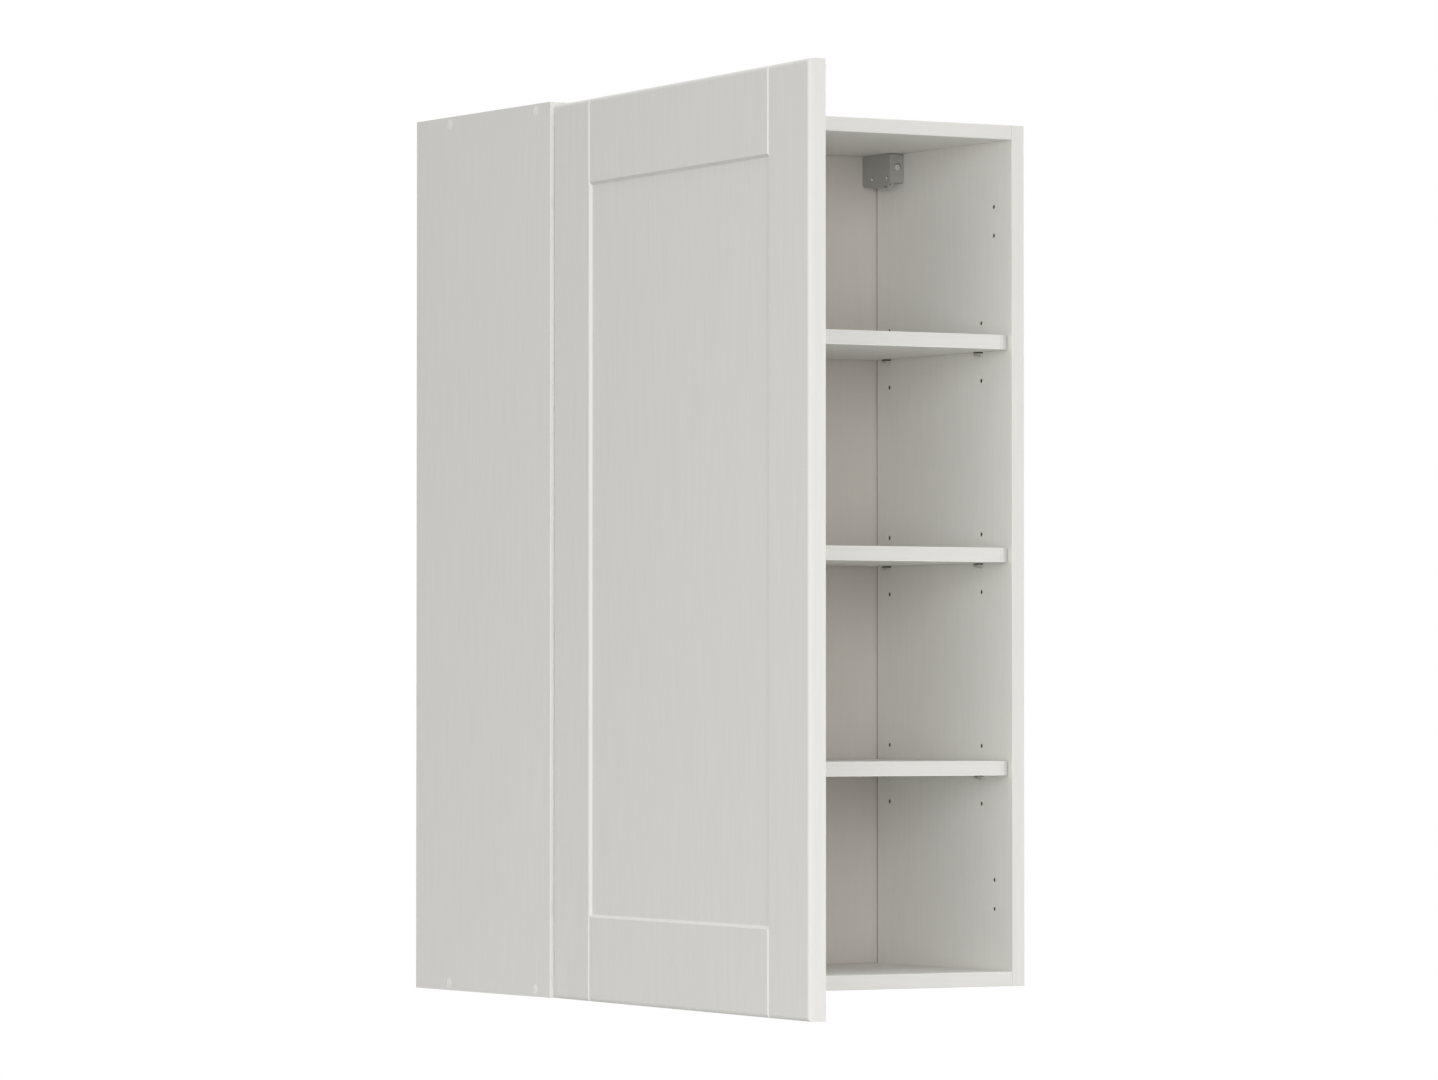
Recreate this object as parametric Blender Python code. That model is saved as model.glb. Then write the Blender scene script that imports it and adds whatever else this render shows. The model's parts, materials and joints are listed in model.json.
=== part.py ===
"""Kitchen wall cabinet: a 16 mm board carcass with three loose shelves, two corner hangers
and one milled door on concealed cup hinges, shown with its door open.

Metres, +Z up, +X to the right as seen from the front, +Y towards the wall. The origin is in the
wall plane, at the middle of the bottom panel's rear edge.
"""
import math

import bmesh
import bpy

for old in list(bpy.data.objects):
    bpy.data.objects.remove(old, do_unlink=True)

# Fits
SEAT = 0.0003            # gap between pieces that touch
BORE_SPARE = 0.001       # how much deeper a blind hole is than what goes into it
REACH = 0.002            # how far a cutter stands out of the face that it opens

# Carcass boards
CARCASS_WIDTH = 0.600
CARCASS_HEIGHT = 0.950
CARCASS_DEPTH = 0.300
BOARD = 0.016
BAND_ROUND = 0.0006      # worn-off edge of the edge banding
BACK_SHEET = 0.003
BACK_SETBACK = 0.015     # wall plane to the rear of the back sheet
GROOVE_DEPTH = 0.006
GROOVE_SPARE = 0.0005    # back sheet's play at the bottom of its groove
GROOVE_SLIT = 0.0008     # open slit between the back sheet and the front wall of its groove

# Carcass screws and their caps
SCREW_FROM_FRONT = 0.033
SCREW_FROM_WALL = 0.075
SCREW_LENGTH = 0.048
SCREW_SHANK_R = 0.0031
SCREW_HEAD_R = 0.0047
SCREW_HEAD = 0.0030
CAP_R = 0.0056
CAP_THICK = 0.0012

# Shelves and their supports
SHELF = 0.016
SHELF_PITCH = 0.235
SHELF_SETBACK = 0.0005
SHELF_ROUND = 0.022      # arc at a shelf's front corner, which meets the shelf's end in an arris
SHELF_TURN = math.radians(52)
SHELF_SIDE_GAP = 0.001
SHELF_BACK_GAP = 0.001
PEG_FROM_FRONT = 0.063
PEG_FROM_WALL = 0.045
PEG_R = 0.0024
PEG_LENGTH = 0.008
PEG_HOLE_STEP = 0.032    # spare holes above and below each support
TONGUE_LENGTH = 0.0075
TONGUE_WIDTH = 0.008
TONGUE_ROOT = 0.0058     # height at the side panel
TONGUE_TIP = 0.0042
TONGUE_LIP = 0.0013      # length of the tip's foot
TONGUE_HEEL = 0.0026     # length of the foot at the side panel
TONGUE_SHEET = 0.0016    # thickness over the hollow

# Door
DOOR_WIDTH = 0.596
DOOR_THICK = 0.019
DOOR_REVEAL = 0.002      # carcass side to the hinge edge of the shut door
DOOR_TOP_REVEAL = 0.004
DOOR_GAP = 0.003         # carcass front to the shut door
DOOR_ROUND = 0.004
DOOR_BACK_ROUND = 0.0008
DOOR_OPEN = math.radians(94.4)
FRAME = 0.088            # width of the milled frame
RECESS = 0.003
VEE_WIDTH = 0.0046
VEE_OFFSET = 0.001       # groove centre from the inner line of the stile

# Hinges
HINGE_INSET = 0.100      # hinge centre to the end of the door
PIN_FROM_EDGE = 0.0075
PIN_DEPTH = 0.010
PIN_R = 0.0013
CUP_R = 0.0173
CUP_FROM_EDGE = 0.0205
CUP_DEPTH = 0.014
CUP_WALL = 0.001
CUP_FLOOR = 0.0007
FLANGE = 0.001
FLANGE_RIM = 0.0012
WING_HALF = 0.031
WING_WIDTH = 0.023
WING_FROM_CUP = 0.0055   # centre of the wing plate from the centre of the cup
CUP_SCREW_HALF = 0.024
CUP_SCREW_R = 0.0015
CUP_SCREW_LENGTH = 0.010
CUP_SCREW_HEAD_R = 0.0033
CUP_SCREW_HEAD = 0.0013
LUG = 0.0026
STRIP = 0.0018           # sheet of the hinge arm
NECK_HALF = 0.0045
NECK_RUN = 0.009
NECK_BEND = 0.0045
NECK_DIP = math.radians(10)
EYE_R = 0.0026
EYE_HALF = 0.005
ARM_HALF = 0.008
ARM_FROM_FRONT = 0.004
ARM_LENGTH = 0.062
ARM_HOLE_R = 0.0028      # side adjuster's hole
ARM_HOLE_FROM_FRONT = 0.019
ARM_CAM_R = 0.0036       # depth adjuster's hole
ARM_CAM_FROM_REAR = 0.012
PLATE = 0.002
PLATE_FROM_FRONT = 0.037
PLATE_SCREW_HALF = 0.016
PLATE_WING_HALF = 0.025
PLATE_WING_WIDTH = 0.016
PLATE_SCREW_R = 0.0023
PLATE_SCREW_LENGTH = 0.010
PLATE_SCREW_HEAD_R = 0.0045
PLATE_SCREW_HEAD = 0.002

# Hangers
HANGER_WIDTH = 0.0187
HANGER_DEPTH = 0.058
HANGER_HEIGHT = 0.0332
HANGER_ROUND = 0.002
NOSE_DROP = 0.0065
NOSE_WIDTH = 0.010
POCKET_DEPTH = 0.003     # depth of the window and of the notch in the nose's inner face
WINDOW_FROM_FRONT = 0.0075
WINDOW_DROP = 0.0028     # housing's underside to the top of the window
WINDOW_LENGTH = 0.004
WINDOW_HEIGHT = 0.0022
NOTCH_DROP = 0.0010
NOTCH_LENGTH = 0.0045
NOTCH_HEIGHT = 0.0016
HOOK_SHEET = 0.004
HOOK_BAR = 0.006
HOOK_SEAT = 0.001        # notch in the bar's underside that the wall rail lies in
HOOK_TAIL = 0.016
HOOK_BELOW_TOP = 0.008   # hanger's top to the top of the hook
CLAW = 0.003
CLAW_DROP = 0.014
CLAW_FROM_WALL = 0.0015
ADJUSTER_R = 0.002
ADJUSTER_LENGTH = 0.024
ADJUSTER_HEAD_R = 0.0033
ADJUSTER_HEAD = 0.0012
ADJUSTER_FROM_SIDE = 0.0085
ADJUSTER_FROM_TOP = 0.0155

# Faces of the carcass
LEFT, RIGHT = -CARCASS_WIDTH / 2, CARCASS_WIDTH / 2
IN_LEFT, IN_RIGHT = LEFT + BOARD, RIGHT - BOARD
FRONT, WALL = -CARCASS_DEPTH, 0.0
UNDER = -BOARD / 2
TOP = UNDER + CARCASS_HEIGHT
IN_UNDER, IN_TOP = UNDER + BOARD, TOP - BOARD
BACK_REAR = WALL - BACK_SETBACK
BACK_FRONT = BACK_REAR - BACK_SHEET
MIDDLE = (UNDER + TOP) / 2
SHELF_LEVELS = {name: MIDDLE - SHELF / 2 + step * SHELF_PITCH
                for name, step in (("lower", -1), ("middle", 0), ("upper", 1))}
SCREW_ROWS = {"front": FRONT + SCREW_FROM_FRONT, "rear": WALL - SCREW_FROM_WALL}
PEG_ROWS = {"front": FRONT + PEG_FROM_FRONT, "rear": WALL - PEG_FROM_WALL}
SIDES = {"left": -1, "right": 1}

# The shut door in its own frame: the pivot is the hinge pins' axis, +X runs to the free edge
# and +Y towards the cabinet
PIVOT = (LEFT + DOOR_REVEAL + PIN_FROM_EDGE, FRONT - DOOR_GAP - PIN_DEPTH, 0.0)
HINGE_EDGE, FREE_EDGE = -PIN_FROM_EDGE, DOOR_WIDTH - PIN_FROM_EDGE
INNER_FACE, OUTER_FACE = PIN_DEPTH, PIN_DEPTH - DOOR_THICK
DOOR_LOW, DOOR_HIGH = UNDER, TOP - DOOR_TOP_REVEAL
HINGE_LEVELS = {"lower": DOOR_LOW + HINGE_INSET, "upper": DOOR_HIGH - HINGE_INSET}
CUP_X = HINGE_EDGE + CUP_FROM_EDGE


def material(name, colour, roughness, metallic=0.0):
    mat = bpy.data.materials.new(name)
    mat.use_nodes = True
    shader = mat.node_tree.nodes["Principled BSDF"]
    shader.inputs["Base Color"].default_value = (*colour, 1.0)
    shader.inputs["Roughness"].default_value = roughness
    shader.inputs["Metallic"].default_value = metallic
    return mat


LAMINATE = material("grey_laminate", (0.56, 0.55, 0.52), 0.55)
FOIL = material("door_foil", (0.60, 0.59, 0.56), 0.5)
SHEET = material("back_sheet", (0.52, 0.51, 0.49), 0.6)
NICKEL = material("nickel_steel", (0.60, 0.60, 0.58), 0.3, 1.0)
ZINC = material("zinc_steel", (0.45, 0.46, 0.47), 0.4, 1.0)
PLASTIC = material("cap_plastic", (0.72, 0.71, 0.69), 0.45)
HANGER = material("hanger_grey", (0.30, 0.30, 0.29), 0.5)


def finish(name, bm, mat, parent=None, at=(0.0, 0.0, 0.0), turn=0.0, smooth=False):
    """Turn a bmesh into a named object; without a material it is a hidden tool body."""
    bmesh.ops.recalc_face_normals(bm, faces=bm.faces)
    mesh = bpy.data.meshes.new(name)
    bm.to_mesh(mesh)
    bm.free()
    obj = bpy.data.objects.new(name, mesh)
    bpy.context.scene.collection.objects.link(obj)
    obj.parent = parent
    obj.location = at
    obj.rotation_euler = (0.0, 0.0, turn)
    if mat is None:
        obj.hide_render = True
        obj.display_type = "WIRE"
    else:
        mesh.materials.append(mat)
    if smooth:
        mesh.shade_smooth()
        mesh.set_sharp_from_angle(angle=math.radians(35))
    return obj


def combine(target, tool, operation="DIFFERENCE"):
    mod = target.modifiers.new(tool.name, "BOOLEAN")
    mod.operation = operation
    mod.solver = "EXACT"
    mod.object = tool
    return target


def box_mesh(bm, low, high):
    """Add a closed box to bm and return its faces."""
    verts = [bm.verts.new((x, y, z)) for x in (low[0], high[0]) for y in (low[1], high[1])
             for z in (low[2], high[2])]
    quads = ((0, 1, 3, 2), (4, 6, 7, 5), (0, 4, 5, 1), (2, 3, 7, 6), (0, 2, 6, 4), (1, 5, 7, 3))
    return [bm.faces.new([verts[i] for i in quad]) for quad in quads]


def box(name, low, high, mat=None, **place):
    bm = bmesh.new()
    box_mesh(bm, low, high)
    return finish(name, bm, mat, **place)


def soften(bm, width, chosen, segments=1):
    """Bevel the edges for which chosen(middle of edge) holds."""
    bm.normal_update()
    edges = [e for e in bm.edges if chosen(sum((v.co for v in e.verts), e.verts[0].co * 0) / 2)]
    bmesh.ops.bevel(bm, geom=edges, offset=width, offset_type="OFFSET", segments=segments,
                    profile=0.5, affect="EDGES")


def board(name, low, high, mat):
    """A panel whose front edges are slightly eased, as edge banding is."""
    bm = bmesh.new()
    box_mesh(bm, low, high)
    soften(bm, BAND_ROUND, lambda p: abs(p.y - low[1]) < 1e-6)
    return finish(name, bm, mat)


def prism_mesh(bm, outline, axis, low, high):
    """Extrude a flat outline along an axis. Its two coordinates are the other axes, in order."""
    def place(a, b, c):
        return {"X": (c, a, b), "Y": (a, c, b), "Z": (a, b, c)}[axis]
    ends = [[bm.verts.new(place(a, b, c)) for a, b in outline] for c in (low, high)]
    for end in ends:
        bm.faces.new(end)
    count = len(outline)
    for i in range(count):
        j = (i + 1) % count
        bm.faces.new((ends[0][i], ends[0][j], ends[1][j], ends[1][i]))


def prism(name, outline, axis, low, high, mat=None, **place):
    bm = bmesh.new()
    prism_mesh(bm, outline, axis, low, high)
    return finish(name, bm, mat, **place)


def arc(centre, radius, start, end, steps):
    return [(centre[0] + radius * math.cos(start + (end - start) * i / steps),
             centre[1] + radius * math.sin(start + (end - start) * i / steps))
            for i in range(steps + 1)]


def rounded(low, high, radius, steps=4):
    """Outline of a rectangle with round corners."""
    (x0, y0), (x1, y1) = low, high
    corners = ((x1, y1, 0), (x0, y1, 1), (x0, y0, 2), (x1, y0, 3))
    points = []
    for x, y, quarter in corners:
        centre = (x - radius if x == x1 else x + radius, y - radius if y == y1 else y + radius)
        points += arc(centre, radius, quarter * math.pi / 2, (quarter + 1) * math.pi / 2, steps)
    return points


def turned_mesh(bm, profile, axis, centre, segments):
    """Revolve a profile of (radius, height) about an axis; it starts and ends on the axis."""
    def place(angle, radius, height):
        a, b = radius * math.cos(angle), radius * math.sin(angle)
        x, y, z = {"X": (height, a, b), "Y": (a, height, b), "Z": (a, b, height)}[axis]
        return (centre[0] + x, centre[1] + y, centre[2] + z)
    rings = []
    for radius, height in profile:
        count = 1 if radius == 0 else segments
        rings.append([bm.verts.new(place(2 * math.pi * i / segments, radius, height))
                      for i in range(count)])
    for lower, upper in zip(rings, rings[1:]):
        for i in range(segments):
            j = (i + 1) % segments
            corners = {lower[i % len(lower)]: 0, lower[j % len(lower)]: 0,
                       upper[j % len(upper)]: 0, upper[i % len(upper)]: 0}
            bm.faces.new(list(corners))


def turned(name, profile, axis, centre, mat=None, segments=16, **place):
    bm = bmesh.new()
    turned_mesh(bm, profile, axis, centre, segments)
    return finish(name, bm, mat, smooth=mat is not None, **place)


def rod(radius, low, high):
    return [(0, low), (radius, low), (radius, high), (0, high)]


def drill(target, name, holes, segments=12, **place):
    """Cut several round stepped holes at once: holes are (profile, axis, centre)."""
    bm = bmesh.new()
    for profile, axis, centre in holes:
        turned_mesh(bm, profile, axis, centre, segments)
    return combine(target, finish(name, bm, None, **place))


def build_carcass():
    groove_low, groove_high = BACK_FRONT - GROOVE_SLIT, BACK_REAR + SEAT
    sheet_bite = GROOVE_DEPTH - GROOVE_SPARE
    screw_levels = {"bottom": (UNDER + IN_UNDER) / 2, "top": (TOP + IN_TOP) / 2}
    peg_bore = PEG_LENGTH + BORE_SPARE
    head_seat = CAP_THICK + SEAT
    screw_bore = head_seat + SCREW_LENGTH + BORE_SPARE

    for side, sign in SIDES.items():
        outer, inner = sign * RIGHT, sign * IN_RIGHT
        x_low, x_high = sorted((outer, inner))
        panel = board(f"{side}_side", (x_low, FRONT, UNDER), (x_high, WALL, TOP), LAMINATE)
        depth_low, depth_high = sorted((inner + sign * GROOVE_DEPTH, inner - sign * REACH))
        combine(panel, box(f"{side}_side_groove", (depth_low, groove_low, UNDER - REACH),
                           (depth_high, groove_high, TOP + REACH)))
        peg_hole = rod(PEG_R + SEAT / 2, -sign * REACH, sign * peg_bore)
        plate_hole = rod(PLATE_SCREW_R + SEAT / 2, -sign * REACH,
                         sign * (PLATE_SCREW_LENGTH + BORE_SPARE))
        holes = [(peg_hole, "X", (inner, y, level + step * PEG_HOLE_STEP))
                 for level in SHELF_LEVELS.values() for step in (-1, 0, 1) for y in PEG_ROWS.values()]
        holes += [(plate_hole, "X", (inner, FRONT + PLATE_FROM_FRONT, level + half))
                  for level in HINGE_LEVELS.values() for half in (-PLATE_SCREW_HALF, PLATE_SCREW_HALF)]
        drill(panel, f"{side}_side_holes", holes)
        stepped = [(0, REACH), (CAP_R + SEAT, REACH), (CAP_R + SEAT, -head_seat),
                   (SCREW_HEAD_R + SEAT, -head_seat), (SCREW_HEAD_R + SEAT, -head_seat - SCREW_HEAD - SEAT),
                   (SCREW_SHANK_R + SEAT, -head_seat - SCREW_HEAD - SEAT),
                   (SCREW_SHANK_R + SEAT, -BOARD - REACH), (0, -BOARD - REACH)]
        stepped = [(r, sign * h) for r, h in stepped]
        drill(panel, f"{side}_side_screw_holes", [(stepped, "X", (outer, y, z))
              for y in SCREW_ROWS.values() for z in screw_levels.values()], segments=16)

        shank = [(0, 0), (SCREW_HEAD_R, 0), (SCREW_HEAD_R, SCREW_HEAD), (SCREW_SHANK_R, SCREW_HEAD),
                 (SCREW_SHANK_R, SCREW_LENGTH - SCREW_SHANK_R), (0, SCREW_LENGTH)]
        shank = [(r, -sign * (h + head_seat)) for r, h in shank]
        cap = [(0, 0), (CAP_R - BAND_ROUND, 0), (CAP_R, BAND_ROUND), (CAP_R, CAP_THICK), (0, CAP_THICK)]
        cap = [(r, -sign * h) for r, h in cap]
        for end, z in screw_levels.items():
            for row, y in SCREW_ROWS.items():
                turned(f"{side}_{end}_{row}_screw", shank, "X", (outer, y, z), ZINC, 12)
                turned(f"{side}_{end}_{row}_cap", cap, "X", (outer, y, z), PLASTIC, 16)

    x_low, x_high = IN_LEFT + SEAT, IN_RIGHT - SEAT
    end_bore = screw_bore - BOARD - SEAT
    for name, z_low, z_high, inside in (("bottom", UNDER, IN_UNDER, 1), ("top", IN_TOP, TOP, -1)):
        panel = board(f"{name}_panel", (x_low, FRONT, z_low), (x_high, WALL, z_high), LAMINATE)
        face = z_high if inside > 0 else z_low
        cut_low, cut_high = sorted((face - inside * GROOVE_DEPTH, face + inside * REACH))
        combine(panel, box(f"{name}_panel_groove", (x_low - REACH, groove_low, cut_low),
                           (x_high + REACH, groove_high, cut_high)))
        bore = SCREW_SHANK_R + SEAT
        drill(panel, f"{name}_panel_screw_holes",
              [(rod(bore, -REACH, end_bore), "X", (x_low, y, screw_levels[name])) for y in SCREW_ROWS.values()]
              + [(rod(bore, REACH, -end_bore), "X", (x_high, y, screw_levels[name]))
                 for y in SCREW_ROWS.values()])

    back = box("back_panel", (IN_LEFT - sheet_bite, BACK_FRONT, IN_UNDER - sheet_bite),
               (IN_RIGHT + sheet_bite, BACK_REAR, IN_TOP + sheet_bite), SHEET)
    for side, sign in SIDES.items():
        hook = hook_box(sign)
        combine(back, box(f"back_panel_{side}_slot",
                          (hook["x"][0] - BORE_SPARE, BACK_FRONT - REACH, hook["z"][0] - BORE_SPARE),
                          (hook["x"][1] + BORE_SPARE, BACK_REAR + REACH, hook["z"][1] + BORE_SPARE)))


def build_shelves():
    x_low, x_high = IN_LEFT + SHELF_SIDE_GAP, IN_RIGHT - SHELF_SIDE_GAP
    y_low, y_high = FRONT + SHELF_SETBACK, BACK_FRONT - SHELF_BACK_GAP
    outline = [(x_high, y_high), (x_low, y_high)]
    inset, front = SHELF_ROUND * math.sin(SHELF_TURN), 1.5 * math.pi
    for x, start, end in ((x_low + inset, front - SHELF_TURN, front),
                          (x_high - inset, front, front + SHELF_TURN)):
        outline += arc((x, y_low + SHELF_ROUND), SHELF_ROUND, start, end, 10)
    corner_rear = max(y for x, y in outline[2:])

    # Support: a round peg with a flat-topped tongue that is hollowed to an arch underneath, made for
    # the left side and turned for the right
    foot_low, foot_high = TONGUE_HEEL, TONGUE_LENGTH - TONGUE_LIP
    arch = (foot_high - foot_low) / 2
    tongue = [(SEAT, -SEAT), (TONGUE_LENGTH, -SEAT), (TONGUE_LENGTH, -TONGUE_TIP), (foot_high, -TONGUE_TIP)]
    tongue += arc((foot_low + arch, -TONGUE_SHEET - arch), arch, 0, math.pi, 8)
    tongue += [(foot_low, -TONGUE_ROOT), (SEAT, -TONGUE_ROOT)]
    for level_name, level in SHELF_LEVELS.items():
        bm = bmesh.new()
        prism_mesh(bm, outline, "Z", level, level + SHELF)
        soften(bm, BAND_ROUND, lambda p: p.y < corner_rear - 1e-6
               and min(abs(p.z - level), abs(p.z - level - SHELF)) < 1e-6)
        finish(f"{level_name}_shelf", bm, LAMINATE)
        for side, sign in SIDES.items():
            for row, y in PEG_ROWS.items():
                place = {"at": (sign * IN_RIGHT, y, level), "turn": math.pi if sign > 0 else 0.0}
                name = f"{level_name}_shelf_{side}_{row}_peg"
                peg = turned(name, rod(PEG_R, -PEG_LENGTH, 2 * SEAT), "X", (0, 0, 0), NICKEL, 12, **place)
                bm = bmesh.new()
                prism_mesh(bm, tongue, "Y", -TONGUE_WIDTH / 2, TONGUE_WIDTH / 2)
                combine(peg, finish(f"{name}_tongue", bm, None, **place), "UNION")


def build_door(pivot):
    door = {"parent": pivot}
    bm = bmesh.new()
    box_mesh(bm, (HINGE_EDGE, OUTER_FACE, DOOR_LOW), (FREE_EDGE, INNER_FACE, DOOR_HIGH))
    soften(bm, DOOR_ROUND, lambda p: abs(p.y - OUTER_FACE) < 1e-6, segments=4)
    soften(bm, DOOR_BACK_ROUND, lambda p: abs(p.y - INNER_FACE) < 1e-6)
    front = finish("door_front", bm, FOIL, **door)

    # Recessed centre with a 45 degree bevel all round
    low = (HINGE_EDGE + FRAME, DOOR_LOW + FRAME)
    high = (FREE_EDGE - FRAME, DOOR_HIGH - FRAME)
    bm = bmesh.new()
    rings = []
    for y, inset in ((OUTER_FACE - REACH, -REACH), (OUTER_FACE + RECESS, RECESS)):
        x0, z0, x1, z1 = low[0] + inset, low[1] + inset, high[0] - inset, high[1] - inset
        rings.append([bm.verts.new((x, y, z)) for x, z in ((x0, z0), (x1, z0), (x1, z1), (x0, z1))])
    for ring in rings:
        bm.faces.new(ring)
    for i in range(4):
        j = (i + 1) % 4
        bm.faces.new((rings[0][i], rings[0][j], rings[1][j], rings[1][i]))
    combine(front, finish("door_recess", bm, None, **door))

    # V-grooves carry the stile lines across the rails
    half = VEE_WIDTH / 2
    for edge, x in (("hinge", low[0] + VEE_OFFSET), ("free", high[0] - VEE_OFFSET)):
        vee = [(x - half - REACH, OUTER_FACE - REACH), (x + half + REACH, OUTER_FACE - REACH),
               (x, OUTER_FACE + half)]
        for rail, z0, z1 in (("lower", DOOR_LOW - REACH, low[1] + RECESS / 2),
                             ("upper", high[1] - RECESS / 2, DOOR_HIGH + REACH)):
            combine(front, prism(f"door_{edge}_{rail}_vee", vee, "Z", z0, z1, **door))

    cup_bore = rod(CUP_R + SEAT, INNER_FACE - CUP_DEPTH - SEAT, INNER_FACE + REACH)
    drill(front, "door_cup_bores", [(cup_bore, "Y", (CUP_X, 0, z)) for z in HINGE_LEVELS.values()],
          segments=40, **door)
    screw_bore = rod(CUP_SCREW_R + SEAT, INNER_FACE - CUP_SCREW_LENGTH, INNER_FACE + REACH)
    drill(front, "door_cup_screw_holes", [(screw_bore, "Y", (CUP_X + WING_FROM_CUP, 0, z + half))
          for z in HINGE_LEVELS.values() for half in (-CUP_SCREW_HALF, CUP_SCREW_HALF)], **door)


def build_hinge(name, level, pivot):
    door = {"parent": pivot}
    # Cup: a turned pan with a rim, a wing plate for its screws, lugs for the pin and a slot in the
    # wall on the door's edge side, where the arm swings out
    rim_low, rim_high = INNER_FACE + SEAT, INNER_FACE + SEAT + FLANGE
    floor = INNER_FACE - CUP_DEPTH
    pan = [(0, floor), (CUP_R, floor), (CUP_R, rim_low), (CUP_R + FLANGE_RIM, rim_low),
           (CUP_R + FLANGE_RIM, rim_high), (CUP_R - CUP_WALL, rim_high),
           (CUP_R - CUP_WALL, floor + CUP_FLOOR), (0, floor + CUP_FLOOR)]
    cup = turned(f"{name}_hinge_cup", pan, "Y", (CUP_X, 0, level), NICKEL, 40, **door)
    wing_x = CUP_X + WING_FROM_CUP
    wing = rounded((wing_x - WING_WIDTH / 2, level - WING_HALF), (wing_x + WING_WIDTH / 2, level + WING_HALF),
                   WING_WIDTH / 4)
    combine(cup, prism(f"{name}_cup_wing", wing, "Y", rim_low, rim_high, **door), "UNION")
    drill(cup, f"{name}_cup_mouth", [(rod(CUP_R - CUP_WALL, rim_low - REACH, rim_high + REACH), "Y",
                                      (CUP_X, 0, level))], segments=40, **door)
    lug_low, lug_high = EYE_HALF + SEAT, EYE_HALF + SEAT + LUG
    for end, sign in (("low", -1), ("high", 1)):
        z0, z1 = sorted((level + sign * lug_low, level + sign * lug_high))
        combine(cup, box(f"{name}_cup_{end}_lug", (-EYE_R * 0.7, floor + CUP_FLOOR / 2, z0),
                         (EYE_R, EYE_R, z1), **door), "UNION")
    drill(cup, f"{name}_cup_pin_bore", [(rod(PIN_R + SEAT, level - lug_high - REACH, level + lug_high + REACH),
                                         "Z", (0, 0, 0))], **door)
    combine(cup, box(f"{name}_cup_slot", (CUP_X - CUP_R - FLANGE_RIM - REACH, floor + CUP_FLOOR + SEAT,
                                          level - lug_low),
                     (-EYE_R * 0.6, rim_high + REACH, level + lug_low), **door))
    drill(cup, f"{name}_cup_screw_holes", [(rod(CUP_SCREW_R + SEAT, rim_low - REACH, rim_high + REACH), "Y",
                                            (wing_x, 0, level + half))
                                           for half in (-CUP_SCREW_HALF, CUP_SCREW_HALF)], **door)
    pin = rod(PIN_R, level - lug_high, level + lug_high)
    turned(f"{name}_hinge_pin", pin, "Z", (0, 0, 0), ZINC, 12, **door)
    head = rim_high + SEAT
    screw = [(0, INNER_FACE - CUP_SCREW_LENGTH + BORE_SPARE), (CUP_SCREW_R, INNER_FACE - CUP_SCREW_LENGTH
             + BORE_SPARE + CUP_SCREW_R), (CUP_SCREW_R, head), (CUP_SCREW_HEAD_R, head),
             (CUP_SCREW_HEAD_R - CUP_SCREW_HEAD / 2, head + CUP_SCREW_HEAD), (0, head + CUP_SCREW_HEAD)]
    for end, half in (("low", -CUP_SCREW_HALF), ("high", CUP_SCREW_HALF)):
        turned(f"{name}_cup_{end}_screw", screw, "Y", (wing_x, 0, level + half), ZINC, 12, **door)

    # Arm: one strip bent from the eye on the pin, out of the cup and along the side panel, where
    # it becomes a channel over the mounting plate's rail
    bend = (NECK_RUN * math.cos(NECK_DIP) + NECK_BEND * math.sin(NECK_DIP),
            -NECK_RUN * math.sin(NECK_DIP) + NECK_BEND * math.cos(NECK_DIP))
    arm_front = FRONT + ARM_FROM_FRONT
    arm_rear = arm_front + ARM_LENGTH
    channel_x = PIVOT[0] + bend[0] + NECK_BEND
    start, end = -math.pi / 2 - NECK_DIP, 0.0
    outer = arc(bend, NECK_BEND + STRIP / 2, start, end, 8)
    inner = arc(bend, NECK_BEND - STRIP / 2, end, start, 8)
    reach_y = arm_front + ARM_HALF - PIVOT[1]
    normal = (math.sin(NECK_DIP) * STRIP / 2, math.cos(NECK_DIP) * STRIP / 2)
    strip = ([(-normal[0], -normal[1])] + outer + [(bend[0] + NECK_BEND + STRIP / 2, reach_y),
             (bend[0] + NECK_BEND - STRIP / 2, reach_y)] + inner + [normal])
    strip = [(PIVOT[0] + x, PIVOT[1] + y) for x, y in strip]
    arm = prism(f"{name}_hinge_arm", strip, "Z", level - NECK_HALF, level + NECK_HALF, NICKEL)
    rail_half = ARM_HALF - STRIP - SEAT
    plate_low = IN_LEFT + SEAT
    flange_low = plate_low + PLATE + SEAT
    top_low, top_high = channel_x - STRIP / 2, channel_x + STRIP / 2
    channel = [(top_high, level - ARM_HALF), (top_high, level + ARM_HALF), (flange_low, level + ARM_HALF),
               (flange_low, level + ARM_HALF - STRIP), (top_low, level + ARM_HALF - STRIP),
               (top_low, level - ARM_HALF + STRIP), (flange_low, level - ARM_HALF + STRIP),
               (flange_low, level - ARM_HALF)]
    combine(arm, prism(f"{name}_arm_channel", channel, "Y", arm_front, arm_rear), "UNION")
    combine(arm, turned(f"{name}_arm_eye", rod(EYE_R, level - EYE_HALF, level + EYE_HALF), "Z",
                        (PIVOT[0], PIVOT[1], 0)), "UNION")
    drill(arm, f"{name}_arm_bore", [(rod(PIN_R + SEAT, level - EYE_HALF - REACH, level + EYE_HALF + REACH), "Z",
                                     (PIVOT[0], PIVOT[1], 0))])
    drill(arm, f"{name}_arm_holes", [(rod(radius, top_low - STRIP, top_high + REACH), "X", (0, y, level))
                                     for radius, y in ((ARM_HOLE_R, arm_front + ARM_HOLE_FROM_FRONT),
                                                       (ARM_CAM_R, arm_rear - ARM_CAM_FROM_REAR))], segments=20)

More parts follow.
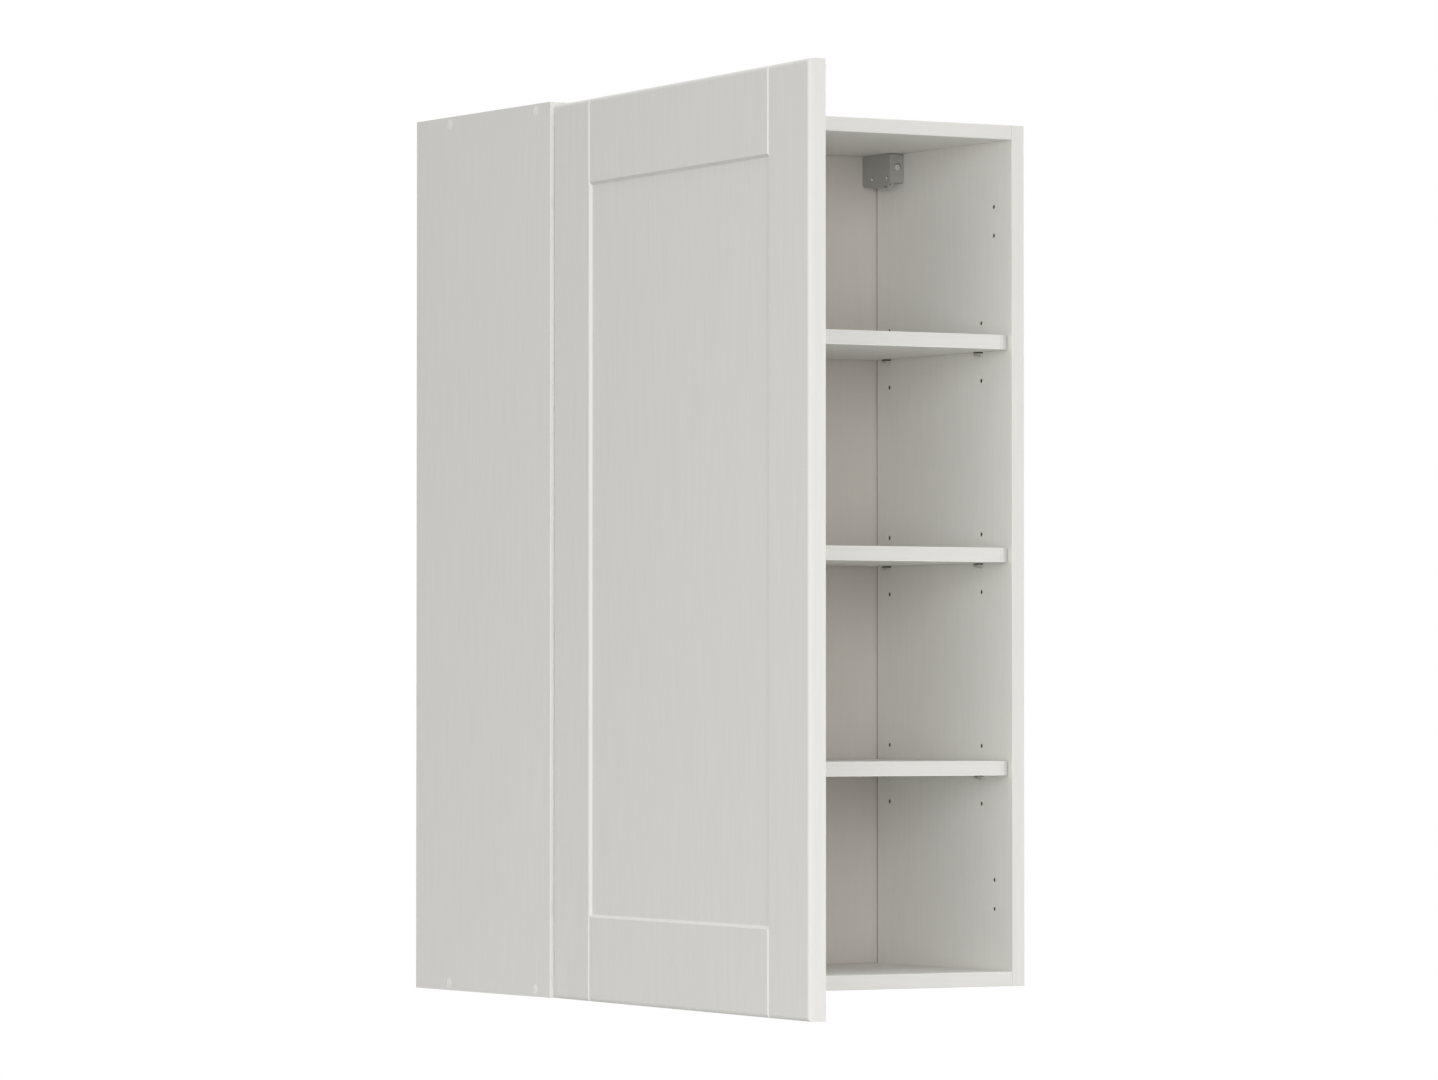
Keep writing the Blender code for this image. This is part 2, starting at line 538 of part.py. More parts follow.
    # Mounting plate: wings for its two screws and a rail that fills the arm's channel
    row = FRONT + PLATE_FROM_FRONT
    wing = rounded((row - PLATE_WING_WIDTH / 2, level - PLATE_WING_HALF),
                   (row + PLATE_WING_WIDTH / 2, level + PLATE_WING_HALF), PLATE_WING_WIDTH / 2 * 0.98, 6)
    plate = prism(f"{name}_hinge_plate", wing, "X", plate_low, plate_low + PLATE, ZINC)
    rail = (arm_front + ARM_HALF, arm_rear - STRIP)
    combine(plate, box(f"{name}_plate_rail", (plate_low, rail[0], level - rail_half),
                       (top_low - SEAT, rail[1], level + rail_half)), "UNION")
    drill(plate, f"{name}_plate_holes", [(rod(PLATE_SCREW_R + SEAT, -REACH, PLATE + REACH), "X",
                                          (plate_low, row, level + half))
                                         for half in (-PLATE_SCREW_HALF, PLATE_SCREW_HALF)])
    head = plate_low + PLATE + SEAT
    screw = [(0, IN_LEFT - PLATE_SCREW_LENGTH), (PLATE_SCREW_R, IN_LEFT - PLATE_SCREW_LENGTH + PLATE_SCREW_R),
             (PLATE_SCREW_R, head), (PLATE_SCREW_HEAD_R, head),
             (PLATE_SCREW_HEAD_R - PLATE_SCREW_HEAD / 2, head + PLATE_SCREW_HEAD), (0, head + PLATE_SCREW_HEAD)]
    for end, half in (("low", -PLATE_SCREW_HALF), ("high", PLATE_SCREW_HALF)):
        turned(f"{name}_plate_{end}_screw", screw, "X", (0, row, level + half), ZINC, 12)


def hook_box(sign):
    """Where a hook's bar runs: through the hanger, the back sheet and on to the claw."""
    x = sign * (IN_RIGHT - SEAT - HANGER_WIDTH / 2)
    z = IN_TOP - SEAT - HOOK_BELOW_TOP
    return {"x": (x - HOOK_SHEET / 2, x + HOOK_SHEET / 2), "z": (z - HOOK_BAR, z),
            "y": (BACK_FRONT - HOOK_TAIL, WALL - CLAW_FROM_WALL)}


def build_hanger(side, sign):
    """A corner hanger: moulded housing, steel hook over the wall rail and height adjuster."""
    outer, inner = sign * (IN_RIGHT - SEAT), sign * (IN_RIGHT - SEAT - HANGER_WIDTH)
    x_low, x_high = sorted((outer, inner))
    rear = BACK_FRONT - SEAT
    front = rear - HANGER_DEPTH
    top, low = IN_TOP - SEAT, IN_TOP - SEAT - HANGER_HEIGHT
    bm = bmesh.new()
    prism_mesh(bm, rounded((front, low), (rear, top), HANGER_ROUND, 3), "X", x_low, x_high)
    housing = finish(f"{side}_hanger", bm, HANGER)
    # Nose under the housing: deepest at the front, running out to nothing at the rear
    section = [(inner, HANGER_ROUND), (inner, -NOSE_DROP), (inner + sign * NOSE_WIDTH / 2, -NOSE_DROP),
               (inner + sign * NOSE_WIDTH, HANGER_ROUND)]
    bm = bmesh.new()
    ends = []
    for y, share in ((front + HANGER_ROUND, 1.0), (rear - HANGER_ROUND, HANGER_ROUND / NOSE_DROP)):
        ends.append([bm.verts.new((x, y, low + (z if z > 0 else z * share))) for x, z in section])
    for end in ends:
        bm.faces.new(end)
    for i in range(4):
        j = (i + 1) % 4
        bm.faces.new((ends[0][i], ends[0][j], ends[1][j], ends[1][i]))
    combine(housing, finish(f"{side}_hanger_nose", bm, None), "UNION")
    pocket_low, pocket_high = sorted((inner - sign * REACH, inner + sign * POCKET_DEPTH))
    for name, y0, y1, drop, height in (
            ("window", front + WINDOW_FROM_FRONT, front + WINDOW_FROM_FRONT + WINDOW_LENGTH, WINDOW_DROP,
             WINDOW_HEIGHT),
            ("notch", front - REACH, front + NOTCH_LENGTH, NOTCH_DROP, NOTCH_HEIGHT)):
        combine(housing, box(f"{side}_hanger_{name}", (pocket_low, y0, low - drop - height),
                             (pocket_high, y1, low - drop)))

    bar = hook_box(sign)
    (tail, wall_end), (bar_low, bar_high) = bar["y"], bar["z"]
    claw_low, claw_face = bar_low - CLAW_DROP, wall_end - CLAW
    seat_start, seat = BACK_REAR + SEAT, bar_low + HOOK_SEAT
    outline = [(tail, bar_low), (seat_start, bar_low), (seat_start, seat), (claw_face, seat),
               (claw_face, claw_low), (wall_end, claw_low), (wall_end, bar_high - CLAW),
               (claw_face, bar_high), (tail, bar_high)]
    prism(f"{side}_hanger_hook", outline, "X", *bar["x"], ZINC)
    combine(housing, box(f"{side}_hanger_slot", (bar["x"][0] - SEAT, tail - SEAT, bar_low - SEAT),
                         (bar["x"][1] + SEAT, rear + REACH, bar_high + SEAT)))

    x, z = outer - sign * ADJUSTER_FROM_SIDE, top - ADJUSTER_FROM_TOP
    bore = rod(ADJUSTER_R + SEAT, front - REACH, front + ADJUSTER_LENGTH + SEAT)
    drill(housing, f"{side}_hanger_bore", [(bore, "Y", (x, 0, z))])
    head = front - SEAT
    screw = [(0, head - ADJUSTER_HEAD), (ADJUSTER_HEAD_R - ADJUSTER_HEAD / 2, head - ADJUSTER_HEAD),
             (ADJUSTER_HEAD_R, head), (ADJUSTER_R, head), (ADJUSTER_R, front + ADJUSTER_LENGTH),
             (0, front + ADJUSTER_LENGTH)]
    turned(f"{side}_hanger_adjuster", screw, "Y", (x, 0, z), NICKEL, 16)


door_pivot = bpy.data.objects.new("door_pivot", None)
bpy.context.scene.collection.objects.link(door_pivot)
door_pivot.location = PIVOT
door_pivot.rotation_euler = (0.0, 0.0, -DOOR_OPEN)

build_carcass()
build_shelves()
build_door(door_pivot)
for hinge_name, hinge_level in HINGE_LEVELS.items():
    build_hinge(hinge_name, hinge_level, door_pivot)
for hanger_side, hanger_sign in SIDES.items():
    build_hanger(hanger_side, hanger_sign)
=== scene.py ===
"""Dresses the open wall cabinet: finishes for its boards, door and metal, the small fittings that
show from close by, and a plain studio.

Metres, +Z up, +X to the right seen from the front, +Y towards the wall.
"""

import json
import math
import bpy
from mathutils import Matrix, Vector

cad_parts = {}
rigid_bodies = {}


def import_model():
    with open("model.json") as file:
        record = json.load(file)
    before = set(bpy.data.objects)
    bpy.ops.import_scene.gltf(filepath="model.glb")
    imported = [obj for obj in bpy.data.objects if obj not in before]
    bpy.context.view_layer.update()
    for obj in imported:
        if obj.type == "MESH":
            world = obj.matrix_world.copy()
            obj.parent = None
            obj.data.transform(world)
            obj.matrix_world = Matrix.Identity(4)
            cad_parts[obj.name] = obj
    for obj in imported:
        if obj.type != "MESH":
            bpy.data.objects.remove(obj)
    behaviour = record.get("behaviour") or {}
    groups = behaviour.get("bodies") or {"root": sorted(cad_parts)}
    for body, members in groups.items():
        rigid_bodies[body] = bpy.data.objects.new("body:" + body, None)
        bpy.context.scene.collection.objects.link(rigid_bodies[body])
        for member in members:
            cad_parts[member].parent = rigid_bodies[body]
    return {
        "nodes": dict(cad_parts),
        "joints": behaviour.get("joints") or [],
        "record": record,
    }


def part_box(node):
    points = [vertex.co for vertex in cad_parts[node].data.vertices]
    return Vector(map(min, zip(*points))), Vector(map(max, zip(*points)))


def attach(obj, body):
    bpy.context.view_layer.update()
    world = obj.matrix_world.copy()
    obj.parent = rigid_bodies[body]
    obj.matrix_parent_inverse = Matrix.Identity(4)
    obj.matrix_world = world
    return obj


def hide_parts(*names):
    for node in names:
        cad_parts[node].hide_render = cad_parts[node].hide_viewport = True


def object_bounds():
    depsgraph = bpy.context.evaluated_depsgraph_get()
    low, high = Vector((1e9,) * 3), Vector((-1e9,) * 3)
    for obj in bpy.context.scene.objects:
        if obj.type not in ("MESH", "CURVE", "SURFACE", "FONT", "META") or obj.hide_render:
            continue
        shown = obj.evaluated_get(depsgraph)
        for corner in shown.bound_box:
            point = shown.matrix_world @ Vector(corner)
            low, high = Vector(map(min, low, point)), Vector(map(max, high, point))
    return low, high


bl_info = {
    "name": "Wall cabinet dressing",
    "version": (1, 0, 0),
    "blender": (4, 5, 0),
    "location": "3D View > Sidebar > Cabinet",
    "description": "Finishes, small fittings and a studio for the open wall cabinet",
    "category": "Object",
}

import bmesh
import bpy
from bpy.props import FloatProperty, FloatVectorProperty, PointerProperty
from mathutils import Matrix, Vector

for leftover in list(bpy.data.objects):
    bpy.data.objects.remove(leftover, do_unlink=True)
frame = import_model()
CAD_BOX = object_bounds()

# The pieces and the door's joint, as the frame has them
NODES = frame["nodes"]
SLOTS = {part["node"]: part["material_slot"] for part in frame["record"]["subparts"]}
BOARDS = ("left_side", "right_side", "top_panel", "bottom_panel")
SHELVES = ("lower_shelf", "middle_shelf", "upper_shelf")
SIDES = ("left", "right")
HINGES = ("lower", "upper")
SWING = next(joint for joint in frame["joints"] if joint["name"] == "door_swing")
PIVOT = Vector(SWING["pos_m"])
OPEN_ANGLE = math.radians(-SWING["range_deg"][0])
DOOR_TURN = Matrix.Rotation(-OPEN_ANGLE, 3, "Z")

# Middle of the right side, and half the inside's width and height with a margin for the faces round it
MARGIN = 0.0003
MIDDLE = sum(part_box("right_side"), Vector()) / 2
INSIDE = Vector((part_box("right_side")[0].x + MARGIN, 0.0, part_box("top_panel")[0].z - MIDDLE.z + MARGIN))

# Depths at which a board's bare inside shows
SLIT = 0.0008           # open part of a groove, in front of the back sheet
REAR_EDGE = 0.0004      # what lies this close to a board's rear is its uncoated edge
BOARD_SKIN = 0.0009     # what lies deeper than this in a board is the wall of a hole or groove
DOOR_SKIN = 0.0011      # the same in the door
LACQUER_SKIN = 0.0003   # what lies deeper than this in the back sheet is its uncoated rear

# Patterns, counted per metre: along and across the grain, or along X, Y and Z
FINE_STREAKS = (42.0, 900.0)
BROAD_STREAKS = (12.0, 190.0)
LAMINATE_CLOUDS = 3.5
FOIL_CLOUDS = 3.0
LACQUER_CLOUDS = 2.5
CHIPS = (420.0, 900.0, 420.0)
CHIP_DUST = 900.0
TORN_CHIPS = 1200.0
DOOR_FIBRES = (700.0, 2500.0, 700.0)
BACK_FIBRES = 260.0
BACK_PATCHES = 6.0
SCREEN = 2400.0
DRAWN_LINES = (300.0, 300.0, 6000.0)
SCRATCHES = (9000.0, 700.0, 700.0)
NICKEL_CLOUDS = 220.0
ZINC_CLOUDS = 400.0
SCREW_CLOUDS = 500.0
SPARKS = 2600.0
FLOW_MARKS = (60.0, 60.0, 220.0)
FLOOR_CLOUDS = 3.0

# Shares of fine streaks, broad streaks and clouds in a surface's colour
BOARD_SHARES = (0.3, 0.55, 0.15)
LACQUER_SHARES = (0.3, 0.4, 0.3)

PLATE_DEPTH = 0.00001           # height of drawn lines and scratches in plate
SHADED_PLATE = 0.12               # share of its colour that plate keeps under painted shade
SHADED_END = 0.3                  # how strong the painted shade on the end of a shelf support's tongue is
SEAT_SHADOW = 0.35                # share of its colour that plastic keeps under the painted shadow beside a head
CREASE = math.radians(35)       # edges sharper than this stay crisp
LAMPS = ("front", "side", "left")
FLOOR_FADE = (0.3, 0.95)        # where the floor's fading starts and ends, as shares of its radius
SENSOR_WIDTH = 36.0             # millimetres


def srgb(red, green, blue):
    """A screen colour from 0 to 255 as the linear colour that Blender mixes with."""
    return tuple(v / 12.92 if v <= 0.04045 else ((v + 0.055) / 1.055) ** 2.4
                 for v in (c / 255 for c in (red, green, blue)))


def colour_setting(name, description, red, green, blue):
    """A colour, written as it shows on a screen."""
    return FloatVectorProperty(name=name, description=description, subtype="COLOR", size=3,
                               min=0.0, max=1.0, default=srgb(red, green, blue))


def length_setting(name, description, default):
    """A length in metres."""
    return FloatProperty(name=name, description=description, default=default, min=0.0,
                         subtype="DISTANCE", unit="LENGTH", precision=5)


def angle_setting(name, description, degrees):
    """An angle, written in degrees."""
    return FloatProperty(name=name, description=description, default=math.radians(degrees),
                         subtype="ANGLE", unit="ROTATION")


def share_setting(name, description, default, least=0.0, most=1.0):
    """A share or a roughness."""
    return FloatProperty(name=name, description=description, default=default, min=least, max=most,
                         subtype="FACTOR")


def light_setting(name, description, default):
    """A level of light."""
    return FloatProperty(name=name, description=description, default=default, min=0.0)


class BoardLook(bpy.types.PropertyGroup):
    """Laminated boards, the wrapped door and the back sheet."""
    laminate: colour_setting("Laminate", "Light warm grey of the carcass and shelves", 230, 229, 225)
    foil: colour_setting("Door foil", "Light warm grey of the wrapped door", 232, 231, 227)
    lacquer: colour_setting("Back lacquer", "Grey of the back sheet's inner face", 210, 206, 200)
    chip_light: colour_setting("Light chips", "Pale wood chips where a board is cut open", 186, 164, 130)
    chip_dark: colour_setting("Dark chips", "Dark wood chips where a board is cut open", 112, 92, 66)
    # Painted shade: bare wood darkened for the shade inside holes and grooves and in the corner strip in
    # front of the back sheet's groove.
    shadowed: colour_setting("Bored", "Dark, charred wood inside a bored hole or groove", 74, 61, 40)
    hardboard: colour_setting("Hardboard", "Bare brown rear of the back sheet", 132, 98, 68)
    laminate_rough: share_setting("Laminate roughness", "Least roughness of the laminate", 0.56)
    foil_rough: share_setting("Foil roughness", "Least roughness of the door's foil", 0.58)
    lacquer_rough: share_setting("Lacquer roughness", "Least roughness of the back's inner face", 0.45)
    grain_depth: length_setting("Grain depth", "Height of the pressed grain", 0.00005)
    band: length_setting("Edge band", "Thickness of the band on the front edges", 0.0010)
    seam: length_setting("Band seam", "Half the width of the line behind the band", 0.00012)
    # Width of a strip of painted shade in the corner in front of the back sheet's groove, drawn as dark
    # bare chips at the groove's sawn edge.
    corner_shade: length_setting("Sawn edge", "Frayed strip in front of the back sheet's groove", 0.0007)
    milling: length_setting("Milling", "Depth of the milled pattern in the door's front", 0.004)


class MetalLook(bpy.types.PropertyGroup):
    """Plated steel fittings."""
    nickel: colour_setting("Nickel", "Nickel plate of the hinges", 212, 210, 205)
    zinc: colour_setting("Zinc", "Zinc plate of screws, mounting plates and hooks", 194, 196, 198)
    bright: colour_setting("Bright plate", "Plate of shelf supports and hanger adjusters", 240, 240, 237)
    nickel_rough: share_setting("Nickel roughness", "Least roughness of hinges and shelf supports", 0.2)
    zinc_rough: share_setting("Zinc roughness", "Least roughness of mounting plates, pins and hooks", 0.3)
    head_rough: share_setting("Head roughness", "Least roughness of cross-head screws", 0.28)
    arm_rough: share_setting("Arm screw roughness", "Least roughness of the hinges' adjusting screws", 0.26)
    adjuster_rough: share_setting("Adjuster roughness", "Least roughness of the hangers' adjusters", 0.35)
    # A band this thick at each shelf's underside gets painted shade on the shelf supports.
    sheet: length_setting("Tongue sheet", "Thickness of a shelf support's tongue, dull where cut", 0.0017)
    recess_reach: share_setting("Recess reach", "Wings of a cross recess, as a share of the head",
                                0.62, 0.1, 0.9)
    recess_width: share_setting("Recess width", "Half a wing's width, as a share of the head",
                                0.13, 0.02, 0.3)
    shank: share_setting("Shank", "Shank of a screw, as a share of its head", 0.45, 0.1, 0.9)
    rim: share_setting("Rim", "Rounding of a screw head, as a share of its height or radius",
                       0.35, 0.0, 0.6)
    side_screw: length_setting("Side screw", "Rear of a hinge arm to its side adjusting screw", 0.043)
    depth_screw: length_setting("Depth screw", "Rear of a hinge arm to its depth adjusting screw", 0.012)
    side_radius: length_setting("Side screw radius", "Half the width of the side screw", 0.0026)
    depth_radius: length_setting("Depth screw radius", "Half the width of the depth screw", 0.0034)


class PlasticLook(bpy.types.PropertyGroup):
    """Moulded pieces."""
    cap: colour_setting("Caps", "Pale grey of the screw caps", 238, 237, 233)
    hanger: colour_setting("Hangers", "Mid grey of the hanger housings", 168, 167, 163)
    rivet: colour_setting("Rivets", "Light grey of the hangers' rivet heads", 242, 242, 238)
    cap_rough: share_setting("Cap roughness", "Least roughness of caps and rivet heads", 0.4)
    hanger_rough: share_setting("Hanger roughness", "Least roughness of the hanger housings", 0.45)
    cap_pits: length_setting("Cap pits", "Depth of the texture on caps and rivet heads", 0.00001)
    hanger_pits: length_setting("Hanger pits", "Depth of the texture on the hanger housings", 0.00004)
    cap_crown: length_setting("Cap crown", "Height of a screw cap's middle over the board", 0.0003)
    rivet_radius: length_setting("Rivet radius", "Half the width of a hanger's rivet heads", 0.0015)
    rivet_height: length_setting("Rivet height", "Height of a hanger's rivet heads", 0.0007)
    rivet_rise: length_setting("Rivet rise", "Hanger's top down to its rivets", 0.0275)
    rivet_near: length_setting("Near rivet", "Hanger's rear to the nearer rivet", 0.0203)
    rivet_far: length_setting("Far rivet", "Hanger's rear to the farther rivet", 0.0515)
    # The painted shadow beside each rivet and adjuster head is set off by this much.
    seat_shift: length_setting("Seat shift", "How far a seat shows beside the head in it", 0.0011)


class StudioLook(bpy.types.PropertyGroup):
    """Floor, light and camera."""
    floor: colour_setting("Floor", "Pale floor", 206, 206, 204)
    floor_drop: length_setting("Floor drop", "Cabinet's underside to the floor", 1.35)
    floor_radius: length_setting("Floor radius", "Half the width of the floor, which fades to its rim", 4.2)
    fill: light_setting("Fill", "Light from all round", 0.294)
    fill_slope: share_setting("Fill slope", "How much more of the fill comes from above", 1.0)
    front: light_setting("Front lamp", "Light of the large front lamp", 0.55)
    front_turn: angle_setting("Front turn", "How far left of the front the front lamp stands", 31)
    front_rise: angle_setting("Front rise", "How far above the cabinet's middle the front lamp stands", 4)
    side: light_setting("Side lamp", "Light of the lamp on the right", 0.64)
    side_turn: angle_setting("Side turn", "How far left of the front the side lamp stands", -88)
    side_rise: angle_setting("Side rise", "How far above the cabinet's middle the side lamp stands", 10)
    left: light_setting("Left lamp", "Light of the lamp on the left", 0.045)
    left_turn: angle_setting("Left turn", "How far left of the front the left lamp stands", 105)
    left_rise: angle_setting("Left rise", "How far above the cabinet's middle the left lamp stands", 38)
    lamp_distance: length_setting("Lamp distance", "Cabinet's middle to each lamp", 6.0)
    lamp_width: length_setting("Lamp width", "Width of each lamp", 3.4)
    camera_place: FloatVectorProperty(name="Camera place", description="Where the camera stands",
                                      subtype="TRANSLATION", unit="LENGTH", size=3,
                                      default=(-3.8135, -6.5788, 0.3080))
    camera_turn: angle_setting("Camera turn", "Camera's heading, right of straight on", 30.655)
    camera_tilt: angle_setting("Camera tilt", "Camera's tilt above level", 1.343)
    lens: FloatProperty(name="Lens", description="Focal length on a 36 mm wide image", default=169.97,
                        min=1.0, subtype="DISTANCE_CAMERA", unit="CAMERA")


class Value:
    """A socket of a node tree. Sums on it add Math nodes to that tree."""

    def __init__(self, tree, socket):
        self.tree = tree
        self.socket = socket

    def maths(self, operation, *terms):
        return self.tree.node("ShaderNodeMath", {"operation": operation}, dict(enumerate(terms)))

    def __add__(self, other):
        return self.maths("ADD", self, other)

    def __radd__(self, other):
        return self.maths("ADD", other, self)

    def __sub__(self, other):
        return self.maths("SUBTRACT", self, other)

    def __rsub__(self, other):
        return self.maths("SUBTRACT", other, self)

    def __mul__(self, other):
        return self.maths("MULTIPLY", self, other)

    def __rmul__(self, other):
        return self.maths("MULTIPLY", other, self)

    def __or__(self, other):
        return self.maths("MAXIMUM", self, other)

    def __ror__(self, other):
        return self.maths("MAXIMUM", other, self)

    def __gt__(self, other):
        return self.maths("GREATER_THAN", self, other)

    def __lt__(self, other):
        return self.maths("LESS_THAN", self, other)

    def __abs__(self):
        return self.maths("ABSOLUTE", self)

    def sine(self):
        return self.maths("SINE", self)

    def root(self):
        return self.maths("SQRT", self)


class Tree:
    """A node tree that is built by expressions."""

    def __init__(self, tree):
        self.tree = tree

    def node(self, kind, settings=None, sockets=None, output=0):
        """Add a node of any kind and return one of its outputs."""
        made = self.tree.nodes.new(kind)
        for name, value in (settings or {}).items():
            setattr(made, name, value)
        for name, value in (sockets or {}).items():
            if isinstance(value, Value):
                self.tree.links.new(value.socket, made.inputs[name])
            else:
                made.inputs[name].default_value = value
        return Value(self, made.outputs[output])

    def mix(self, factor, first, second):
        """Colour mix: first where the factor is 0, second where it is 1."""
        colours = {6: first, 7: second}
        sockets = {0: factor, **{i: c if isinstance(c, Value) else (*c, 1.0) for i, c in colours.items()}}
        return self.node("ShaderNodeMix", {"data_type": "RGBA", "clamp_factor": True}, sockets, 2)

    def place(self):
        """The point on the piece, in the cabinet's own frame for a node of the frame."""
        return self.node("ShaderNodeTexCoord", output="Object")

    def parts(self, vector):
        """The X, Y and Z of a vector."""
        split = self.node("ShaderNodeSeparateXYZ", sockets={0: vector})
        return [Value(self, output) for output in split.socket.node.outputs]

    def stretch(self, vector, scale):
        """A vector with each part times its own number."""
        return self.node("ShaderNodeVectorMath", {"operation": "MULTIPLY"}, {0: vector, 1: scale})

    def noise(self, vector, scale=1.0, detail=2.0, roughness=0.5):
        """Soft blotches from 0 to 1, with more fine ones as the detail rises."""
        return self.node("ShaderNodeTexNoise", {}, {"Vector": vector, "Scale": scale, "Detail": detail,
                                                    "Roughness": roughness})

    def ease(self, value, low, high):
        """0 below low, 1 above high and smooth between."""
        return self.node("ShaderNodeMapRange", {"interpolation_type": "SMOOTHSTEP"},
                         {"Value": value, "From Min": low, "From Max": high})

    def bump(self, height, distance, strength):
        """A normal that follows a height, which counts in units of the distance."""
        return self.node("ShaderNodeBump", {}, {"Height": height, "Distance": distance,
                                                "Strength": strength})


class Finish(Tree):
    """A material that is under construction."""

    def __init__(self, name, **constants):
        self.material = bpy.data.materials.new(name)
        self.material.use_nodes = True
        super().__init__(self.material.node_tree)
        self.shader = self.tree.nodes["Principled BSDF"]
        for socket, value in constants.items():
            self.shader.inputs[socket.replace("_", " ")].default_value = value

    def feed(self, **sockets):
        """Link values to the shader's sockets and return the material."""
        for name, value in sockets.items():
            self.tree.links.new(value.socket, self.shader.inputs[name.replace("_", " ")])
        return self.material

    def surface(self, colour, rough, height, depth, strength=0.5):
        """Feed the shader a colour, a roughness and a relief, and return the material."""
        return self.feed(Base_Color=colour, Roughness=rough, Normal=self.bump(height, depth, strength))


def within(place, low, high, inset):
    """1 well inside a box, where a hole or groove has opened the board, and 0 on its faces."""
    mask = None
    for value, least, most in zip(place, low, high):
        between = (value > least + inset) * (value < most - inset)
        mask = between if mask is None else mask * between
    return mask


def chipboard(finish, place, look):
    """Colour of pressed wood chips."""
    chips = finish.node("ShaderNodeTexVoronoi", {"feature": "F1"},
                        {"Vector": finish.stretch(place, CHIPS), "Scale": 1.0}, "Color")
    shade = finish.parts(chips)[0] * 0.7 + finish.noise(place, CHIP_DUST, detail=3.0) * 0.3
    return finish.mix(shade, look.chip_dark, look.chip_light)


def tints(colour, spread):
    """A darker and a lighter neighbour of a colour."""
    return [tuple(c * (1 + sign * spread) for c in colour) for sign in (-1, 1)]


def grain(finish, place, along):
    """Fine and broad streaks along an axis, each about 0.5 in the middle."""
    found = []
    for (lengthwise, crosswise), detail in ((FINE_STREAKS, 2.0), (BROAD_STREAKS, 3.0)):
        pitch = tuple(lengthwise if axis == along else crosswise for axis in "XYZ")
        found.append(finish.noise(finish.stretch(place, pitch), detail=detail))
    return found


def printed(finish, place, along, colour, clouds, spread=0.065, shares=BOARD_SHARES):
    """A colour that varies with streaks along an axis and with clouds, and the fine streaks themselves."""
    fine, broad = grain(finish, place, along)
    fine_share, broad_share, cloud_share = shares
    shade = fine * fine_share + broad * broad_share + clouds * cloud_share
    return finish.mix(shade, *tints(colour, spread)), fine


def laminate(node, look, along, drilled):
    """Printed laminate on chipboard: grain, a seam behind the front band, bare chips where it is cut, and
    painted shade in holes, grooves and the corner in front of the back sheet.
    """
    low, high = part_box(node)
    finish = Finish(f"{node}_laminate", IOR=1.4, Specular_IOR_Level=0.25)
    place = finish.place()
    x, y, z = finish.parts(place)
    clouds = finish.noise(place, LAMINATE_CLOUDS, detail=1.0)
    colour, fine = printed(finish, place, along, look.laminate, clouds)
    seam = abs(y - (low.y + look.band)) < look.seam
    colour = finish.mix(seam * 0.15, colour, look.chip_light)
    bare = y > high.y - REAR_EDGE
    chips = chipboard(finish, place, look)
    if drilled:
        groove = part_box("back_panel")[0].y
        inside = (abs(x) < INSIDE.x) * (abs(z - MIDDLE.z) < INSIDE.z)
        # Painted shade along the corner in front of the back sheet, drawn on bare chips at the groove's
        # edge.
        shaded_corner = (y > groove - SLIT - look.corner_shade) * (y < groove) * inside
        opened = within((x, y, z), low, high, BOARD_SKIN) | shaded_corner
        # Painted shade: where the board is opened, its chips are mixed towards the dark shaded wood colour.
        chips = finish.mix(opened, chips, finish.mix(fine, look.shadowed, look.chip_dark))
        bare = bare | opened
    colour = finish.mix(bare, colour, chips)
    rough = look.laminate_rough + 0.12 * fine + 0.3 * bare
    height = fine + bare * finish.noise(place, TORN_CHIPS) * 4.0
    return finish.surface(colour, rough, height, look.grain_depth)


def door_place(finish):
    """The point on the door as it is when the door is shut, measured from the hinge axis."""
    shut = finish.node("ShaderNodeVectorRotate", {"rotation_type": "Z_AXIS"},
                       {"Vector": finish.place(), "Center": tuple(PIVOT), "Angle": OPEN_ANGLE})
    return finish.node("ShaderNodeVectorMath", {"operation": "SUBTRACT"}, {0: shut, 1: tuple(PIVOT)})


def shut_box(node):
    """A door node's box with the door shut, measured from the hinge axis."""
    corners = [DOOR_TURN.inverted() @ (v.co - PIVOT) for v in NODES[node].data.vertices]
    return (Vector(min(c[i] for c in corners) for i in range(3)),
            Vector(max(c[i] for c in corners) for i in range(3)))


def door_foil(look):
    """Foil pressed over milled fibreboard: vertical grain in front, a plain rear, bare board in bores."""
    low, high = shut_box("door_front")
    finish = Finish("door_foil", IOR=1.4, Specular_IOR_Level=0.25)
    place = door_place(finish)
    colour, fine = printed(finish, place, "Z", look.foil, finish.noise(place, FOIL_CLOUDS, detail=1.0))
    milled = Vector((low.x, low.y + look.milling, low.z))
    bare = within(finish.parts(place), milled, high, DOOR_SKIN)
    fibres = finish.noise(finish.stretch(place, DOOR_FIBRES), detail=4.0)
    colour = finish.mix(bare, colour, finish.mix(fibres, look.chip_dark, look.chip_light))
    rough = look.foil_rough + 0.12 * fine + 0.3 * bare
    height = fine + bare * fibres * 3.0
    return finish.surface(colour, rough, height, look.grain_depth)


def back_lacquer(look):
    """Lacquered hardboard: smooth grey inside, bare brown with a screen pattern behind."""
    finish = Finish("back_lacquer", IOR=1.45)
    place = finish.place()
    x, y, z = finish.parts(place)
    clouds = finish.noise(place, LACQUER_CLOUDS)
    colour, fine = printed(finish, place, "Z", look.lacquer, clouds, spread=0.05, shares=LACQUER_SHARES)
    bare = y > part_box("back_panel")[0].y + LACQUER_SKIN
    fibres = finish.noise(place, BACK_FIBRES, detail=6.0, roughness=0.65)
    patches = finish.noise(place, BACK_PATCHES)
    brown = finish.mix(fibres * 0.7 + patches * 0.3, *tints(look.hardboard, spread=0.32))
    colour = finish.mix(bare, colour, brown)
    screen = (x * SCREEN).sine() * (z * SCREEN).sine()
    rough = look.lacquer_rough + 0.1 * fine + 0.35 * bare
    height = (1 - bare) * fine + bare * (screen + fibres * 2.0)
    return finish.surface(colour, rough, height, look.grain_depth)


